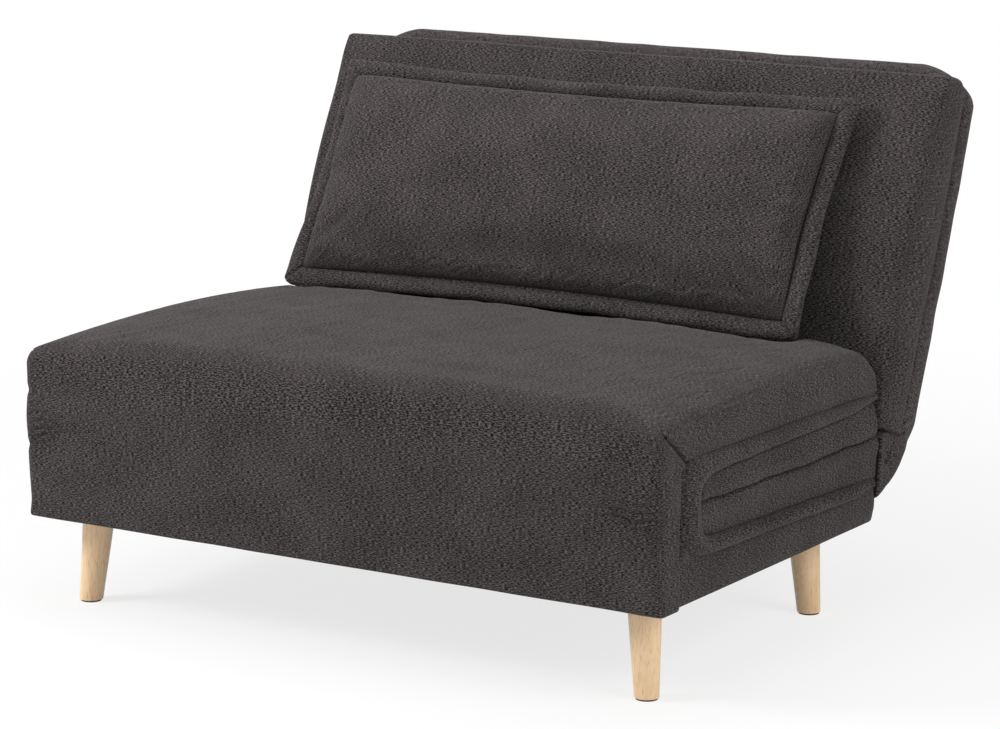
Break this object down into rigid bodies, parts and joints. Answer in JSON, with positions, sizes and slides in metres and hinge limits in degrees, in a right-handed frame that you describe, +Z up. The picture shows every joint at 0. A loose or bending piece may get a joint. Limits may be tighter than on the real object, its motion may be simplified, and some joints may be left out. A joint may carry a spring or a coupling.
{
  "type": "single sofa bed",
  "caption": "Padded single sofa bed on tapered wooden legs: the seat unfolds forward, the backrest reclines flat, with a loose back cushion.",
  "frame": {"origin": "on the floor under the middle of the object's box", "axes": "+Z up, the front faces -Y, X is the width"},
  "size_m": [1.144, 0.9924, 0.8077],
  "materials": {
    "upholstery": "dark charcoal melange woven cloth over foam",
    "cushion_fabric": "dark charcoal melange woven cloth over soft filling",
    "leg_wood": "satin lacquered light hardwood",
    "frame_timber": "planed softwood and plywood",
    "glide": "dark grey glide",
    "dust_cloth": "black non-woven cloth",
    "tube_paint": "black powder coat",
    "cap_plastic": "black moulded cap",
    "plated_steel": "zinc-plated steel"
  },
  "bodies": {
    "base": {"leg_front_left": "leg_wood", "leg_front_right": "leg_wood", "leg_rear_left": "leg_wood", "leg_rear_right": "leg_wood", "leg_glides": "glide", "leg_plates": "plated_steel", "leg_hanger_bolts": "plated_steel", "leg_plate_screws": "plated_steel", "leg_corner_blocks": "frame_timber", "base_dust_cover": "dust_cloth", "base_front_pad": "upholstery", "base_front_board": "frame_timber", "base_side_rail_left": "frame_timber", "base_side_rail_right": "frame_timber", "base_rear_rail": "frame_timber", "base_slats": "frame_timber", "base_side_panels": "upholstery", "base_rear_panel": "upholstery", "lower_mattress": "upholstery", "lower_border_roll_left": "upholstery", "lower_border_roll_right": "upholstery", "fold_hinge_lower_leaves": "plated_steel", "fold_hinge_pins": "plated_steel", "recline_base_plates": "plated_steel", "recline_pivot_bolts": "plated_steel", "recline_pivot_nuts": "plated_steel", "rear_fold_gusset": "upholstery"},
    "seat": {"seat_pad": "upholstery", "seat_front_pad": "upholstery", "seat_front_board": "frame_timber", "seat_mattress": "upholstery", "seat_side_rails": "frame_timber", "seat_rear_rail": "frame_timber", "seat_slats": "frame_timber", "upper_border_roll_left": "upholstery", "upper_border_roll_right": "upholstery", "fold_hinge_upper_leaves": "plated_steel", "foot_leg_pivot_bolts": "plated_steel"},
    "foot_leg_l": {"foot_leg_left": "tube_paint", "foot_leg_cap_left": "cap_plastic"},
    "foot_leg_r": {"foot_leg_right": "tube_paint", "foot_leg_cap_right": "cap_plastic"},
    "backrest": {"back_pad": "upholstery", "back_side_rails": "frame_timber", "back_top_rail": "frame_timber", "back_bottom_rail": "frame_timber", "back_side_bands": "upholstery", "back_slats": "frame_timber", "back_rear_panel": "upholstery", "back_border_roll_left": "upholstery", "back_border_roll_right": "upholstery", "back_border_roll_top": "upholstery", "recline_back_plates": "plated_steel", "rear_leg_brackets": "tube_paint", "rear_leg_pivot_bolts": "plated_steel"},
    "rear_leg": {"rear_leg_post_left": "tube_paint", "rear_leg_post_right": "tube_paint", "rear_leg_crossbar": "tube_paint", "rear_leg_feet": "cap_plastic"},
    "cushion": {"back_cushion": "cushion_fabric"}
  },
  "joints": [
    {"name": "seat_fold", "type": "hinge", "parent": "base", "child": "seat", "pos_m": [0, -0.49405, 0.282], "axis": [1, 0, 0], "range_deg": [0, 180]},
    {"name": "back_recline", "type": "hinge", "parent": "base", "child": "backrest", "pos_m": [0, 0.19095, 0.282], "axis": [-1, 0, 0], "range_deg": [0, 69], "deforming": ["rear_fold_gusset"]},
    {"name": "rear_leg_fold", "type": "hinge", "parent": "backrest", "child": "rear_leg", "pos_m": [0, 0.45789, 0.7151], "axis": [1, 0, 0], "range_deg": [0, 90]},
    {"name": "foot_leg_left_swing", "type": "hinge", "parent": "seat", "child": "foot_leg_l", "pos_m": [-0.38, 0.16995, 0.337], "axis": [0, -1, 0], "range_deg": [0, 90]},
    {"name": "foot_leg_right_swing", "type": "hinge", "parent": "seat", "child": "foot_leg_r", "pos_m": [0.38, 0.16995, 0.337], "axis": [0, 1, 0], "range_deg": [0, 90]},
    {"name": "cushion_carry", "type": "hinge", "parent": "seat", "child": "cushion", "pos_m": [0, 0.20682, 0.33504], "axis": [1, 0, 0], "range_deg": [-243.5, 0]}
  ],
  "couplings": [
    {"joint": "foot_leg_left_swing", "follows": "seat_fold", "ratio": 0.5},
    {"joint": "foot_leg_right_swing", "follows": "seat_fold", "ratio": 0.5},
    {"joint": "cushion_carry", "follows": "seat_fold", "ratio": -1.3528}
  ]
}
